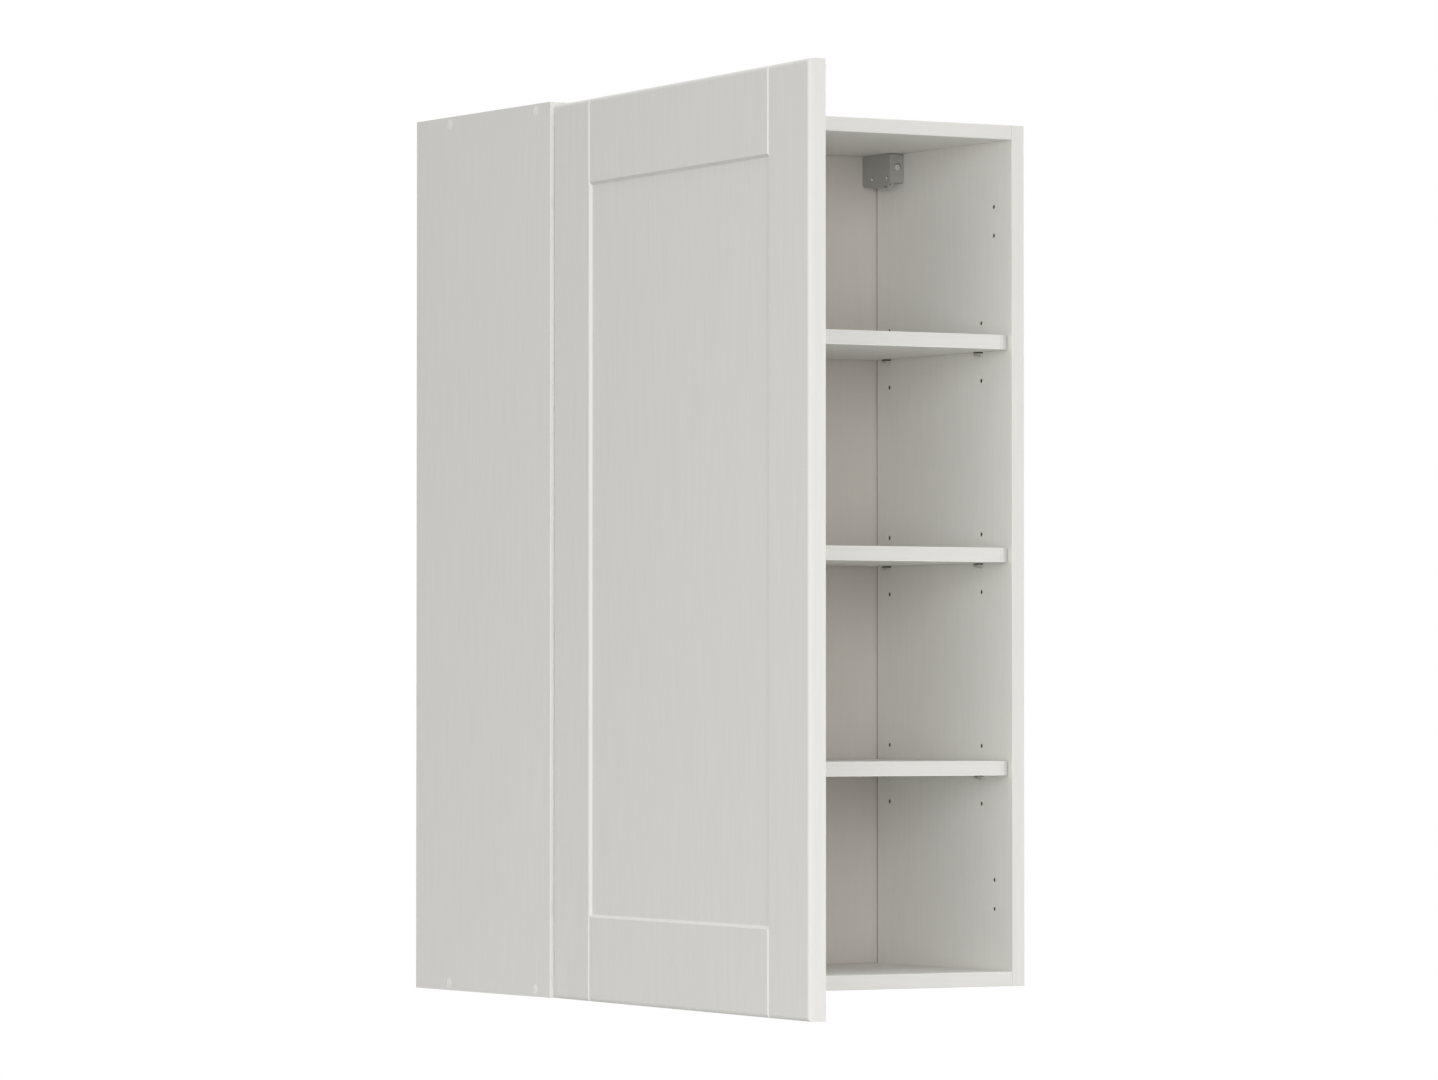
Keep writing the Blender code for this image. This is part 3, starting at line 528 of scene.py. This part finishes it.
def plated(name, colour, least_rough, clouds, painted_shade=None):
    """Plated steel: faint cloudy tint, drawing lines and fine scratches, and painted shade that darkens the
    plate where a mask is given.
    """
    finish = Finish(name, Metallic=1.0)
    place = finish.place()
    cloud = finish.noise(place, clouds, detail=4.0, roughness=0.6)
    lines = finish.noise(finish.stretch(place, DRAWN_LINES))
    scratch = finish.noise(finish.stretch(place, SCRATCHES), detail=1.0)
    plate = finish.mix(cloud * 0.7 + lines * 0.3, *tints(colour, spread=0.12))
    # Painted shade: the plate is darkened where the mask is 1.
    if painted_shade:
        plate = finish.mix(painted_shade(finish, place), plate, tuple(c * SHADED_PLATE for c in colour))
    rough = least_rough + 0.16 * cloud + 0.08 * lines
    return finish.surface(plate, rough, lines + scratch, PLATE_DEPTH, strength=0.4)


def tongue_shade(sheet):
    """A mask of painted shade for plate: 1 in a band at each shelf's underside, where the shelf shades the
    support's tongue, and weaker along the tongue's end.
    """
    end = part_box("lower_shelf_right_front_peg")[0].x + sheet * 0.6

    def mask(finish, place):
        x, _, z = finish.parts(place)
        shaded = (abs(x) < end) * SHADED_END
        for shelf in SHELVES:
            shaded = shaded | (abs(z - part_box(shelf)[0].z) < sheet)
        return shaded

    return mask


def moulded(name, colour, least_rough, pits, speckle, painted_shadows=()):
    """Moulded plastic: spark-eroded texture, slight flow marks, and painted shadow in discs set off beside
    heads, which show as crescents round them.
    """
    finish = Finish(name, IOR=1.46)
    place = finish.place()
    spark = finish.noise(place, SPARKS)
    flow = finish.noise(finish.stretch(place, FLOW_MARKS))
    tint = finish.mix(spark * 0.5 + flow * 0.5, *tints(colour, speckle))
    # Painted shadow: a dark disc set off beside each head.
    for middle, radius in painted_shadows:
        apart = finish.node("ShaderNodeVectorMath", {"operation": "DISTANCE"}, {0: place, 1: middle},
                            "Value")
        tint = finish.mix(apart < radius, tint, tuple(c * SEAT_SHADOW for c in colour))
    return finish.surface(tint, least_rough + 0.15 * spark, spark, pits)


def dress(material, *nodes):
    """Give nodes of the frame a finish in place of their plain one."""
    for node in nodes:
        mesh = NODES[node].data
        mesh.materials.clear()
        mesh.materials.append(material)


def turned(profile, steps=48):
    """A profile of (radius, height) points turned about Z."""
    bm = bmesh.new()
    rings = []
    for radius, height in profile:
        count = steps if radius else 1
        angles = (2 * math.pi * i / count for i in range(count))
        rings.append([bm.verts.new((radius * math.cos(a), radius * math.sin(a), height)) for a in angles])
    for first, second in zip(rings, rings[1:]):
        for i in range(steps):
            around = ((first, i), (first, i + 1), (second, i + 1), (second, i))
            bm.faces.new(dict.fromkeys(ring[j % len(ring)] for ring, j in around))
    return as_mesh(bm)


def dome(radius, height, degrees):
    """Profile of a low dome from its middle to its rim, with points at the given angles."""
    return [(radius * math.sin(a), height * math.cos(a)) for a in map(math.radians, degrees)]


def as_mesh(bm):
    """Turn built geometry into a mesh with smooth rounds and crisp creases."""
    bmesh.ops.recalc_face_normals(bm, faces=bm.faces)
    mesh = bpy.data.meshes.new("piece")
    bm.to_mesh(mesh)
    bm.free()
    mesh.shade_smooth()
    mesh.set_sharp_from_angle(angle=CREASE)
    return mesh


def cross(reach, width, height, depth):
    """A cutter for a cross recess: four wings that narrow to a blunt point."""
    bm = bmesh.new()
    rings = []
    for long, wide, z in ((reach, width, height), (width * 1.2, width * 0.7, -depth)):
        wing = [(long, -wide), (long, wide), (wide, wide)]
        ring = []
        for _ in range(4):
            ring += [bm.verts.new((x, y, z)) for x, y in wing]
            wing = [(-y, x) for x, y in wing]
        rings.append(ring)
    for ring in rings:
        bm.faces.new(ring)
    top, tip = rings
    for i in range(len(top)):
        bm.faces.new((top[i - 1], top[i], tip[i], tip[i - 1]))
    return as_mesh(bm)


def carved(context, mesh, cutter):
    """The mesh with the cutter taken out of it."""
    body, tool = (bpy.data.objects.new("carving", m) for m in (mesh, cutter))
    for part in (body, tool):
        context.scene.collection.objects.link(part)
    cut = body.modifiers.new("recess", "BOOLEAN")
    cut.object, cut.operation, cut.solver = tool, "DIFFERENCE", "EXACT"
    context.view_layer.update()
    result = bpy.data.meshes.new_from_object(body.evaluated_get(context.evaluated_depsgraph_get()))
    for part in (body, tool):
        bpy.data.objects.remove(part)
    if len(result.polygons) <= len(mesh.polygons):
        raise RuntimeError("The cross recess left no mark on a screw head.")
    result.shade_smooth()
    result.set_sharp_from_angle(angle=CREASE)
    return result


def screw(context, look, radius, head, length):
    """A cheese head with a rounded rim and a cross recess on a pointed shank; its head ends at zero."""
    shank = radius * look.shank
    rim = min(head, radius) * look.rim
    rounding = [(radius - rim * inset, -rim * drop) for inset, drop in ((1.6, 0.1), (0.6, 0.4), (0.0, 1.2))]
    point = shank * 1.5
    profile = [(0, 0), *rounding, (radius, -head), (shank, -head), (shank, -length + point), (0, -length)]
    depth = min(length * 0.6, radius * 0.55)
    recess = cross(radius * look.recess_reach, radius * look.recess_width, head, depth)
    return carved(context, turned(profile), recess)


def place_piece(context, name, mesh, material, at, axis, body, slot, *nodes):
    """Set a piece on its place with its Z along an axis, and tie it to the body it moves with."""
    piece = bpy.data.objects.new(name, mesh)
    piece.matrix_world = Matrix.Translation(at) @ Vector(axis).to_track_quat("Z", "Y").to_matrix().to_4x4()
    context.scene.collection.objects.link(piece)
    mesh.materials.clear()
    mesh.materials.append(material)
    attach(piece, body)
    if nodes:
        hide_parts(*nodes)


def measured(node, axis):
    """A turned node's head: middle of its end, radius and height, and the node's length along the axis."""
    axis = Vector(axis)
    points = [v.co for v in NODES[node].data.vertices]
    middle = sum(points, Vector()) / len(points)
    along = [(p - middle).dot(axis) for p in points]
    out = [((p - middle) - axis * t).length for p, t in zip(points, along)]
    radius = max(out)
    nearly_full = radius * 0.98
    seat = min(t for t, r in zip(along, out) if r > nearly_full)
    end = max(along)
    return middle + axis * end, radius, end - seat, end - min(along)


class CABINET_OT_boards(bpy.types.Operator):
    """Laminate on the sides, the top, the bottom and the shelves"""
    bl_idname = "cabinet.boards"
    bl_label = "Boards"

    def execute(self, context):
        look = context.scene.cabinet_boards
        for node in BOARDS:
            dress(laminate(node, look, "Z" if node.endswith("side") else "X", drilled=True), node)
        for node in SHELVES:
            dress(laminate(node, look, "X", drilled=False), node)
        return {"FINISHED"}


class CABINET_OT_door(bpy.types.Operator):
    """Foil on the milled door"""
    bl_idname = "cabinet.door"
    bl_label = "Door"

    def execute(self, context):
        dress(door_foil(context.scene.cabinet_boards), "door_front")
        return {"FINISHED"}


class CABINET_OT_back(bpy.types.Operator):
    """Lacquer on the back sheet"""
    bl_idname = "cabinet.back"
    bl_label = "Back sheet"

    def execute(self, context):
        dress(back_lacquer(context.scene.cabinet_boards), "back_panel")
        return {"FINISHED"}


class CABINET_OT_metal(bpy.types.Operator):
    """Nickel, zinc and bright plate on the fittings"""
    bl_idname = "cabinet.metal"
    bl_label = "Metal"

    def execute(self, context):
        look = context.scene.cabinet_metal
        nickel = plated("nickel_plate", look.nickel, look.nickel_rough, NICKEL_CLOUDS)
        # Shelf supports get painted shade under each shelf and at the tongue's end.
        support = plated("support_plate", look.bright, look.nickel_rough, NICKEL_CLOUDS,
                         tongue_shade(look.sheet))
        zinc = plated("zinc_plate", look.zinc, look.zinc_rough, ZINC_CLOUDS)
        for node in NODES:
            if node.endswith("_peg"):
                dress(support, node)
            elif node.endswith(("_hinge_cup", "_hinge_arm")):
                dress(nickel, node)
            elif node.endswith(("_screw", "_hinge_pin", "_hinge_plate", "_hook")):
                dress(zinc, node)
        return {"FINISHED"}


class CABINET_OT_screws(bpy.types.Operator):
    """Cross-head screws of the hinge plates, hinge cups and hangers"""
    bl_idname = "cabinet.screws"
    bl_label = "Screws"

    def execute(self, context):
        look = context.scene.cabinet_metal
        zinc = plated("screw_zinc", look.zinc, look.head_rough, SCREW_CLOUDS)
        bright = plated("adjuster_plate", look.bright, look.adjuster_rough, SCREW_CLOUDS)
        inward = tuple(DOOR_TURN @ Vector((0, 1, 0)))
        kinds = (("_plate_", (1, 0, 0), "carcass", zinc), ("_cup_", inward, "door", zinc),
                 ("_adjuster", (0, -1, 0), "carcass", bright))
        for mark, axis, body, plate in kinds:
            for node in [n for n in NODES if mark in n and n.endswith(("screw", "adjuster"))]:
                at, radius, head, length = measured(node, axis)
                mesh = screw(context, look, radius, head, length)
                place_piece(context, f"{node}_head", mesh, plate, at, axis, body, SLOTS[node], node)
        return {"FINISHED"}


class CABINET_OT_hinges(bpy.types.Operator):
    """Adjusting screws in the hinge arms"""
    bl_idname = "cabinet.hinges"
    bl_label = "Hinge screws"

    def execute(self, context):
        look = context.scene.cabinet_metal
        zinc = plated("adjuster_zinc", look.zinc, look.arm_rough, SCREW_CLOUDS)
        screws = (("side", look.side_screw, look.side_radius),
                  ("depth", look.depth_screw, look.depth_radius))
        for hinge in HINGES:
            arm = f"{hinge}_hinge_arm"
            arm_low, arm_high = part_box(arm)
            middle = (arm_low.z + arm_high.z) / 2
            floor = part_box(f"{hinge}_hinge_plate")[1].x
            for name, from_rear, radius in screws:
                y = arm_high.y - from_rear
                face = max(v.co.x for v in NODES[arm].data.vertices if abs(v.co.y - y) < radius * 1.5)
                mesh = screw(context, look, radius, (face - floor) * 0.6, face - floor)
                place_piece(context, f"{hinge}_hinge_{name}_adjuster", mesh, zinc, (face, y, middle),
                            (1, 0, 0), "carcass", "zinc_steel")
        return {"FINISHED"}


class CABINET_OT_plastic(bpy.types.Operator):
    """Moulded caps and hanger housings"""
    bl_idname = "cabinet.plastic"
    bl_label = "Plastic"

    def execute(self, context):
        look = context.scene.cabinet_plastic
        # The housings get painted shadow beside their rivets and adjusters.
        housing = moulded("hanger_plastic", look.hanger, look.hanger_rough, look.hanger_pits, speckle=0.12,
                          painted_shadows=self.painted_shadows(look))
        dress(housing, *(f"{side}_hanger" for side in SIDES))
        self.make_caps(context, look)
        self.make_rivets(context, look)
        return {"FINISHED"}

    def make_caps(self, context, look):
        plastic = moulded("cap_plastic", look.cap, look.cap_rough, look.cap_pits, speckle=0.03)
        for node in [n for n in NODES if n.endswith("_cap")]:
            axis = (-1 if node.startswith("left") else 1, 0, 0)
            at, radius, _, thick = measured(node, axis)
            crown = dome(radius * 0.95, look.cap_crown, (0, 20, 40, 55, 70, 82, 90))
            mesh = turned([*crown, (radius, -look.cap_crown * 0.5), (radius, -thick), (0, -thick)])
            place_piece(context, f"{node}_crowned", mesh, plastic, at, axis, "carcass", SLOTS[node], node)

    def make_rivets(self, context, look):
        plastic = moulded("rivet_plastic", look.rivet, look.cap_rough, look.cap_pits, speckle=0.06)
        head = dome(look.rivet_radius, look.rivet_height, (0, 22, 45, 68, 90))
        for side, inward in zip(SIDES, (1, -1)):
            for name, at in self.rivets(side, look).items():
                place_piece(context, f"{side}_hanger_{name}_rivet", turned([*head, (0, 0)]), plastic,
                            at, (inward, 0, 0), "carcass", "hanger_plastic")

    @staticmethod
    def rivets(side, look):
        """Where a hanger's rivets stand."""
        low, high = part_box(f"{side}_hanger")
        face = high.x if side == "left" else low.x
        return {name: Vector((face, high.y - from_rear, high.z - look.rivet_rise))
                for name, from_rear in (("near", look.rivet_near), ("far", look.rivet_far))}

    def painted_shadows(self, look):
        """Middle and radius of the painted shadows beside the hangers' rivets and adjusters."""
        shift = look.seat_shift
        found = []
        for side in SIDES:
            found += [(tuple(at + Vector((0, -shift, shift))), look.rivet_radius)
                      for at in self.rivets(side, look).values()]
            at, radius, head, _ = measured(f"{side}_hanger_adjuster", (0, -1, 0))
            found.append((tuple(at + Vector((shift, head, shift))), radius + shift * 0.3))
        return found


class CABINET_OT_stage(bpy.types.Operator):
    """Floor, soft light, white surroundings and the camera"""
    bl_idname = "cabinet.stage"
    bl_label = "Studio"

    def execute(self, context):
        scene = context.scene
        look = scene.cabinet_studio
        scene.view_settings.view_transform = "Standard"
        self.make_floor(scene, look)
        self.make_surroundings(scene, look)
        for name in LAMPS:
            self.make_lamp(scene, look, name)
        self.make_camera(scene, look)
        return {"FINISHED"}

    def make_floor(self, scene, look):
        """A round floor that fades out towards its rim."""
        bm = bmesh.new()
        bmesh.ops.create_circle(bm, cap_ends=True, segments=96, radius=look.floor_radius)
        mesh = bpy.data.meshes.new("floor")
        bm.to_mesh(mesh)
        bm.free()
        floor = bpy.data.objects.new("floor", mesh)
        floor.location.z = CAD_BOX[0].z - look.floor_drop
        scene.collection.objects.link(floor)
        finish = Finish("floor_paint", Roughness=0.8, IOR=1.3)
        place = finish.place()
        x, y, _ = finish.parts(place)
        fade_start, fade_end = (look.floor_radius * share for share in FLOOR_FADE)
        shown = 1 - finish.ease((x * x + y * y).root(), fade_start, fade_end)
        paint = finish.mix(finish.noise(place, FLOOR_CLOUDS, detail=3.0), *tints(look.floor, spread=0.015))
        mesh.materials.append(finish.feed(Base_Color=paint, Alpha=shown))

    def make_surroundings(self, scene, look):
        """White where it is seen, and otherwise a fill that grows towards the top."""
        world = bpy.data.worlds.new("studio")
        world.use_nodes = True
        scene.world = world
        tree = Tree(world.node_tree)
        path = tree.node("ShaderNodeLightPath").socket.node.outputs
        seen = (Value(tree, path["Is Camera Ray"]) | Value(tree, path["Is Glossy Ray"])
                | Value(tree, path["Is Transmission Ray"]))
        height = tree.parts(tree.node("ShaderNodeTexCoord", output="Generated"))[2]
        above = 1 + look.fill_slope * height
        level = look.fill * above * above
        fill = tree.node("ShaderNodeBackground", {}, {"Color": (1, 1, 1, 1), "Strength": level})
        white = tree.node("ShaderNodeBackground", {}, {"Color": (1, 1, 1, 1), "Strength": 1.0})
        light = tree.node("ShaderNodeMixShader", {}, {0: seen, 1: fill, 2: white})
        tree.tree.links.new(light.socket, tree.tree.nodes["World Output"].inputs["Surface"])

    def make_lamp(self, scene, look, name):
        """A soft disc lamp. A level of 1 shows a surface that faces it in the surface's own colour."""
        level, turn, rise = (getattr(look, name + ending) for ending in ("", "_turn", "_rise"))
        lamp = bpy.data.lights.new(f"{name}_lamp", "AREA")
        lamp.shape = "DISK"
        lamp.size = look.lamp_width
        lamp.energy = level * (math.pi * look.lamp_distance) ** 2
        stand = bpy.data.objects.new(f"{name}_lamp", lamp)
        level_reach = math.cos(rise)
        towards = Vector((-math.sin(turn) * level_reach, -math.cos(turn) * level_reach, math.sin(rise)))
        stand.location = (CAD_BOX[0] + CAD_BOX[1]) / 2 + towards * look.lamp_distance
        stand.rotation_euler = towards.to_track_quat("Z", "Y").to_euler()
        stand.visible_camera = False
        stand.visible_glossy = False
        scene.collection.objects.link(stand)

    def make_camera(self, scene, look):
        """The camera, which looks at the cabinet from the left and a little from below."""
        lens = bpy.data.cameras.new("camera")
        lens.sensor_width = SENSOR_WIDTH
        lens.lens = look.lens
        camera = bpy.data.objects.new("camera", lens)
        camera.location = look.camera_place
        camera.rotation_euler = (math.pi / 2 + look.camera_tilt, 0.0, -look.camera_turn)
        scene.collection.objects.link(camera)
        scene.camera = camera


LOOKS = {"cabinet_boards": BoardLook, "cabinet_metal": MetalLook, "cabinet_plastic": PlasticLook,
         "cabinet_studio": StudioLook}
STEPS = (CABINET_OT_boards, CABINET_OT_door, CABINET_OT_back, CABINET_OT_metal, CABINET_OT_screws,
         CABINET_OT_hinges, CABINET_OT_plastic, CABINET_OT_stage)


class CABINET_PT_dressing(bpy.types.Panel):
    """Lists the steps and their settings"""
    bl_idname = "CABINET_PT_dressing"
    bl_label = "Wall cabinet"
    bl_space_type = "VIEW_3D"
    bl_region_type = "UI"
    bl_category = "Cabinet"

    def draw(self, context):
        for step in STEPS:
            self.layout.operator(step.bl_idname)
        for name, group in LOOKS.items():
            box = self.layout.box()
            for setting in group.__annotations__:
                box.prop(getattr(context.scene, name), setting)


CLASSES = (*LOOKS.values(), *STEPS, CABINET_PT_dressing)


def register():
    for cls in CLASSES:
        bpy.utils.register_class(cls)
    for name, group in LOOKS.items():
        setattr(bpy.types.Scene, name, PointerProperty(type=group))


def unregister():
    for name in LOOKS:
        delattr(bpy.types.Scene, name)
    for cls in reversed(CLASSES):
        bpy.utils.unregister_class(cls)


def main():
    register()
    bpy.ops.cabinet.boards()
    bpy.ops.cabinet.door()
    bpy.ops.cabinet.back()
    bpy.ops.cabinet.metal()
    bpy.ops.cabinet.screws()
    bpy.ops.cabinet.hinges()
    bpy.ops.cabinet.plastic()
    bpy.ops.cabinet.stage()


if __name__ == "__main__":
    main()
